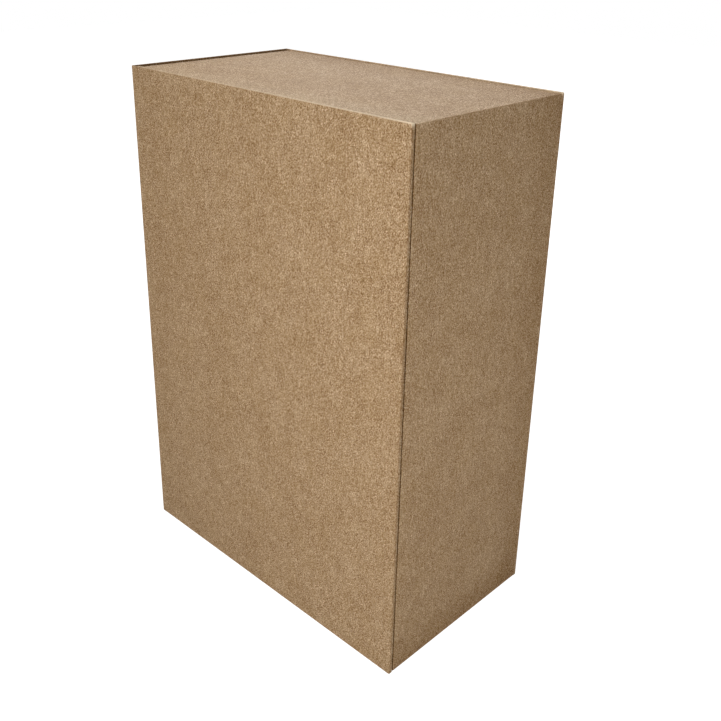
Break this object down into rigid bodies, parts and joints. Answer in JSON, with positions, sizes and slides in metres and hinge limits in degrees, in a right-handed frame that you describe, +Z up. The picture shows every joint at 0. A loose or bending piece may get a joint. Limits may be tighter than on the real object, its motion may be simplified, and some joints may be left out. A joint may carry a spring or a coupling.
{
  "type": "rigid gift box",
  "caption": "Rigid book-style gift box wrapped in kraft paper: a deep tray glued to a hard cover whose spine and lid fold open on paper hinges, with hidden magnets.",
  "frame": {"origin": "middle of the closed box's footprint, on the surface that it stands on", "axes": "+Z up the long side as it stands on one short end, -Y out of the lid, +Y out of the back, -X out of the spine"},
  "size_m": [0.231, 0.129, 0.33],
  "materials": {
    "kraft_wrap": "matte",
    "kraft_liner": "matte",
    "greyboard": "matte",
    "gummed_tape": "satin",
    "magnet": "satin"
  },
  "bodies": {
    "tray": {"tray_floor_board": "greyboard", "tray_left_wall_board": "greyboard", "tray_right_wall_board": "greyboard", "tray_top_wall_board": "greyboard", "tray_bottom_wall_board": "greyboard", "corner_stay_bottom_left": "gummed_tape", "corner_stay_bottom_right": "gummed_tape", "corner_stay_top_left": "gummed_tape", "corner_stay_top_right": "gummed_tape", "tray_wrap": "kraft_wrap", "tray_wall_liner": "kraft_liner", "tray_floor_liner": "kraft_liner", "tray_magnet_lower": "magnet", "tray_magnet_upper": "magnet", "back_board": "greyboard", "back_wrap": "kraft_wrap", "back_hinge_lining": "kraft_liner"},
    "spine": {"spine_board": "greyboard", "spine_wrap": "kraft_wrap", "spine_liner": "kraft_liner"},
    "lid": {"lid_board": "greyboard", "lid_wrap": "kraft_wrap", "lid_liner": "kraft_liner", "lid_hinge_lining": "kraft_liner", "lid_magnet_lower": "magnet", "lid_magnet_upper": "magnet"}
  },
  "joints": [
    {"name": "spine_hinge", "type": "hinge", "parent": "tray", "child": "spine", "pos_m": [-0.1155, 0.0645, 0.165], "axis": [0, 0, -1], "range_deg": [0, 90]},
    {"name": "lid_hinge", "type": "hinge", "parent": "spine", "child": "lid", "pos_m": [-0.1155, -0.0645, 0.165], "axis": [0, 0, -1], "range_deg": [0, 180]}
  ]
}
